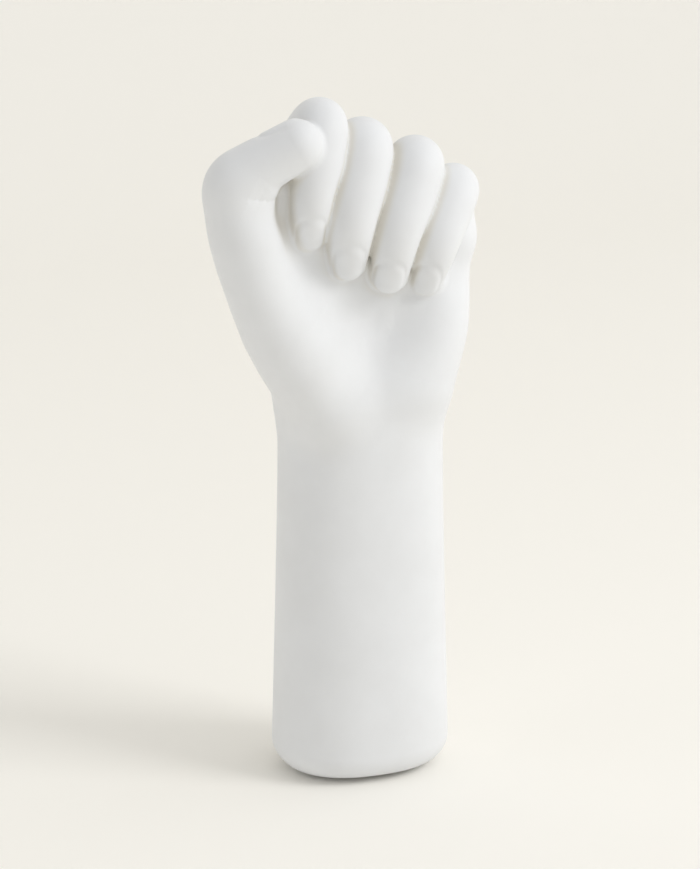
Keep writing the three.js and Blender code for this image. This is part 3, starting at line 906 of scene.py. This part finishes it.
@dataclass(frozen=True)
class CeramicFinish:
    """Matt white earthenware, a little warmer and darker in the folds: painted shade and painted warm
    reflected light.
    """

    name: str
    body: Colour
    shade: Colour
    # Fold colour: painted shade and painted warm reflected light where the skin is closed in
    fold: Colour
    roughness: tuple[float, float] = (0.50, 0.62)
    cloud_range: tuple[float, float] = (0.35, 0.65)
    painted_shade_range: tuple[float, float] = (0.25, 0.95)
    painted_shade_strength: float = 0.55
    bump: float = 0.06
    bump_depth: float = 0.0002
    specular: float = 0.35
    has_painted_fold_shade: bool = True

    def material(self, surface: bpy.types.NodeTree) -> bpy.types.Material:
        """Builds the finish.

        Args:
            surface: The shader group of the cast surface.

        Returns:
            The material.
        """
        material = bpy.data.materials.new(self.name)
        material.use_nodes = True
        tree = material.node_tree
        shader = tree.nodes["Principled BSDF"]
        cast = wire(tree, "ShaderNodeGroup", node_tree=surface)
        cloud = wire(tree, "ShaderNodeMapRange")
        socket(cloud, "From Min").default_value, socket(cloud, "From Max").default_value = self.cloud_range
        tree.links.new(cast.outputs["Cloud"], socket(cloud, "Value"))
        colour = mixed(tree, cloud.outputs["Result"], self.body, self.shade)
        # Painted shade and warm reflected light: the colour goes towards the fold colour where the skin is
        # closed in
        if self.has_painted_fold_shade:
            fold_shade_mask = wire(tree, "ShaderNodeAttribute", attribute_name="fold_shade_mask")
            painted_fold_shade = wire(tree, "ShaderNodeMapRange", interpolation_type="SMOOTHSTEP")
            socket(painted_fold_shade, "From Min").default_value, socket(painted_fold_shade, "From Max").default_value = self.painted_shade_range
            socket(painted_fold_shade, "To Max").default_value = self.painted_shade_strength
            tree.links.new(fold_shade_mask.outputs["Fac"], socket(painted_fold_shade, "Value"))
            colour = mixed(tree, painted_fold_shade.outputs["Result"], colour, self.fold)
        tree.links.new(colour, shader.inputs["Base Color"])
        rough = wire(tree, "ShaderNodeMapRange")
        socket(rough, "To Min").default_value, socket(rough, "To Max").default_value = self.roughness
        tree.links.new(cast.outputs["Cloud"], socket(rough, "Value"))
        tree.links.new(rough.outputs["Result"], shader.inputs["Roughness"])
        bump = wire(tree, "ShaderNodeBump")
        socket(bump, "Strength").default_value = self.bump
        socket(bump, "Distance").default_value = self.bump_depth
        tree.links.new(cast.outputs["Height"], socket(bump, "Height"))
        tree.links.new(bump.outputs["Normal"], shader.inputs["Normal"])
        shader.inputs["Specular IOR Level"].default_value = self.specular
        return material


@dataclass(frozen=True)
class FeltFinish:
    """Pressed wool felt, mottled by its fibres."""

    name: str = "pressed_felt"
    light: Colour = (0.46, 0.43, 0.38)
    dark: Colour = (0.30, 0.27, 0.23)
    fibre_scale: float = 1400.0
    fibre_detail: float = 3.0
    fibre_distortion: float = 1.5
    bump: float = 0.5
    bump_depth: float = 0.0003
    roughness: float = 0.95
    specular: float = 0.1

    def material(self) -> bpy.types.Material:
        """Builds the finish.

        Returns:
            The material.
        """
        material = bpy.data.materials.new(self.name)
        material.use_nodes = True
        tree = material.node_tree
        shader = tree.nodes["Principled BSDF"]
        place = wire(tree, "ShaderNodeTexCoord")
        fibres = wire(tree, "ShaderNodeTexNoise")
        socket(fibres, "Scale").default_value = self.fibre_scale
        socket(fibres, "Detail").default_value = self.fibre_detail
        socket(fibres, "Distortion").default_value = self.fibre_distortion
        tree.links.new(place.outputs["Object"], socket(fibres, "Vector"))
        colour = mixed(tree, fibres.outputs["Fac"], self.light, self.dark)
        tree.links.new(colour, shader.inputs["Base Color"])
        bump = wire(tree, "ShaderNodeBump")
        socket(bump, "Strength").default_value = self.bump
        socket(bump, "Distance").default_value = self.bump_depth
        tree.links.new(fibres.outputs["Fac"], socket(bump, "Height"))
        tree.links.new(bump.outputs["Normal"], shader.inputs["Normal"])
        shader.inputs["Roughness"].default_value = self.roughness
        shader.inputs["Specular IOR Level"].default_value = self.specular
        return material


# The fold colours paint shade and warm reflected light into the folds
WHITE_CERAMIC = CeramicFinish(
    "matt_white_ceramic", body=(0.823, 0.836, 0.855), shade=(0.796, 0.807, 0.823), fold=(0.72, 0.68, 0.585))
BARE_CERAMIC = CeramicFinish(
    "bare_ceramic", body=(0.80, 0.77, 0.71), shade=(0.74, 0.70, 0.63), fold=(0.74, 0.70, 0.63),
    has_painted_fold_shade=False)


@dataclass
class FeltPad:
    """The oval of felt under the foot."""

    around: int = 160
    power: float = 2.3
    edge_inset: float = 0.25
    edge_height: float = 0.3

    def build(self, felt: bpy.types.Material) -> bpy.types.Object:
        """Cuts the felt.

        Args:
            felt: Its material.

        Returns:
            The pad.
        """
        low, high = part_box("felt_pad")
        self.half = ((high.x - low.x) / 2 / MM, (high.y - low.y) / 2 / MM)
        self.levels = (low.z / MM, high.z / MM)
        piece = link("felt_pad_sheet", self._sheet())
        piece.data.materials.append(felt)
        return piece

    def _ring(self, inset: float) -> Array:
        """The oval's outline, moved inwards."""
        turn = np.linspace(0, 2 * math.pi, self.around, endpoint=False)
        cos, sin = np.cos(turn), np.sin(turn)
        x = (self.half[0] - inset) * np.sign(cos) * np.abs(cos) ** (2 / self.power)
        y = (self.half[1] - inset) * np.sign(sin) * np.abs(sin) ** (2 / self.power)
        return np.stack([x, y], -1)

    def _sheet(self) -> bpy.types.Mesh:
        """A thin closed slab whose edge bulges a little."""
        bottom, top = self.levels
        inset, height = self.edge_inset, self.edge_height
        levels = [(bottom, inset), (bottom + height, 0.0), (top - height, 0.0), (top, inset)]
        bm = bmesh.new()
        rings = []
        for level, inwards in levels:
            rings.append([bm.verts.new((x * MM, y * MM, level * MM)) for x, y in self._ring(inwards)])
        for lower, upper in zip(rings[:-1], rings[1:]):
            for i in range(self.around):
                j = (i + 1) % self.around
                bm.faces.new((lower[i], lower[j], upper[j], upper[i]))
        bm.faces.new(rings[0][::-1])
        bm.faces.new(rings[-1])
        mesh = bpy.data.meshes.new("felt_pad_sheet")
        bm.to_mesh(mesh)
        bm.free()
        return mesh


@dataclass(frozen=True)
class Lamp:
    """A square lamp that faces the hand: directions in degrees, side in millimetres, power in watts."""

    name: str
    azimuth: float
    elevation: float
    size: float
    power: float


@dataclass
class Studio:
    """The pale sweep that the hand stands on, its soft light and the camera."""

    camera_azimuth: float = -20.0
    camera_elevation: float = 16.4
    camera_distance: float = 1100.0
    camera_target: Point = (-3.95, 0.0, 126.48)
    focal_pixels: float = 3060.0
    sensor_width: float = 36.0
    sight: float = 20.0
    lamp_distance: float = 2000.0
    lamps: tuple[Lamp, ...] = (
        Lamp("key_lamp", 51.0, 37.0, 760.0, 12.0), Lamp("fill_lamp", -95.0, 20.0, 1500.0, 4.5))
    window: tuple[float, float] = (80.0, 35.0)
    room_glow: tuple[float, float] = (0.425, 1.03)
    room_colour: Colour = (1.0, 0.995, 0.98)
    floor_colour: Colour = (0.975, 0.956, 0.908)
    floor_roughness: float = 0.9
    floor_specular: float = 0.1
    sweep_half_width: float = 3000.0
    sweep_front: float = -2500.0
    sweep_back: float = 800.0
    sweep_radius: float = 700.0
    sweep_top: float = 3200.0
    sweep_steps: int = 25

    def build(self) -> None:
        """Sets up floor, light and camera."""
        self._sweep()
        self._light()
        self._camera()

    def _sweep(self) -> None:
        """Lays the floor that curves up behind the hand."""
        profile = [(self.sweep_front, 0.0)]
        for turn in np.linspace(0, math.pi / 2, self.sweep_steps):
            profile.append((self.sweep_back + self.sweep_radius * math.sin(turn),
                            self.sweep_radius * (1 - math.cos(turn))))
        profile.append((self.sweep_back + self.sweep_radius, self.sweep_top))
        bm = bmesh.new()
        sides = (-self.sweep_half_width, self.sweep_half_width)
        rows = [[bm.verts.new((x * MM, y * MM, z * MM)) for x in sides] for y, z in profile]
        for (a, b), (c, d) in zip(rows[:-1], rows[1:]):
            bm.faces.new((a, b, d, c)).smooth = True
        mesh = bpy.data.meshes.new("paper_sweep")
        bm.to_mesh(mesh)
        bm.free()
        sweep = link("paper_sweep", mesh)
        material = bpy.data.materials.new("ivory_paper")
        material.use_nodes = True
        shader = material.node_tree.nodes["Principled BSDF"]
        shader.inputs["Base Color"].default_value = (*self.floor_colour, 1.0)
        shader.inputs["Roughness"].default_value = self.floor_roughness
        shader.inputs["Specular IOR Level"].default_value = self.floor_specular
        mesh.materials.append(material)

    def _light(self) -> None:
        """Hangs the lamps, and lights the room as a window at its side would."""
        for lamp in self.lamps:
            self._hang(lamp)
        world = bpy.data.worlds.new("studio_room")
        bpy.context.scene.world = world
        world.use_nodes = True
        background = world.node_tree.nodes["Background"]
        background.inputs["Color"].default_value = (*self.room_colour, 1.0)
        tree = world.node_tree
        place = wire(tree, "ShaderNodeTexCoord")
        toward = wire(tree, "ShaderNodeVectorMath", operation="DOT_PRODUCT")
        toward.inputs[1].default_value = self._direction(*self.window)
        glow = wire(tree, "ShaderNodeMapRange")
        socket(glow, "To Min").default_value, socket(glow, "To Max").default_value = self.room_glow
        tree.links.new(place.outputs["Generated"], toward.inputs[0])
        tree.links.new(toward.outputs["Value"], socket(glow, "Value"))
        tree.links.new(glow.outputs["Result"], background.inputs["Strength"])

    def _hang(self, lamp: Lamp) -> None:
        """Hangs a lamp so that it faces the hand.

        Args:
            lamp: The lamp, with its azimuth given as the camera's is.
        """
        light = bpy.data.lights.new(lamp.name, "AREA")
        light.size = lamp.size * MM
        light.energy = lamp.power
        out = self._direction(lamp.azimuth, lamp.elevation)
        holder = bpy.data.objects.new(lamp.name, light)
        holder.location = (Vector(self.camera_target) + out * self.lamp_distance) * MM
        holder.rotation_euler = (-out).to_track_quat("-Z", "Y").to_euler()
        bpy.context.scene.collection.objects.link(holder)

    @staticmethod
    def _direction(azimuth: float, elevation: float) -> Vector:
        """The direction from the hand towards an azimuth and an elevation in degrees."""
        turn, lift = math.radians(azimuth), math.radians(elevation)
        return Vector((math.sin(turn) * math.cos(lift), -math.cos(turn) * math.cos(lift), math.sin(lift)))

    def _camera(self) -> None:
        """Places the camera where the photograph was taken from."""
        back = self._direction(self.camera_azimuth, self.camera_elevation)
        data = bpy.data.cameras.new("camera")
        data.sensor_width = self.sensor_width
        data.lens = self.focal_pixels * data.sensor_width / max(PHOTO_SIZE)
        data.clip_end = self.sight
        camera = bpy.data.objects.new("camera", data)
        camera.location = (Vector(self.camera_target) + back * self.camera_distance) * MM
        camera.rotation_euler = (-back).to_track_quat("-Z", "Y").to_euler()
        bpy.context.scene.collection.objects.link(camera)
        bpy.context.scene.camera = camera


def corners(box: tuple[Vector, Vector]) -> list[list[float]]:
    """A box's corners as plain lists."""
    return [list(corner) for corner in box]


def main() -> None:
    """Builds the hand, its foot and the studio, and reports each piece."""
    logging.basicConfig(level=logging.INFO, format="%(name)s: %(message)s")
    bpy.context.scene.view_settings.view_transform = "Standard"
    surface = slip_cast_group()
    ceramic = WHITE_CERAMIC.material(surface)
    bare = BARE_CERAMIC.material(surface)
    for casting, piece in HandSculpture().build().items():
        piece.data.materials.append(ceramic)
        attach(piece, BODY)
        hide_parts(casting.value)
        LOG.info("%s: %d faces", piece.name, len(piece.data.polygons))
    pad = FeltPad()
    felt = pad.build(FeltFinish().material())
    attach(felt, BODY)
    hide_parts("felt_pad")
    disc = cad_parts["closing_disc"]
    disc.data.materials.clear()
    disc.data.materials.append(bare)
    Studio().build()


if __name__ == "__main__":
    main()
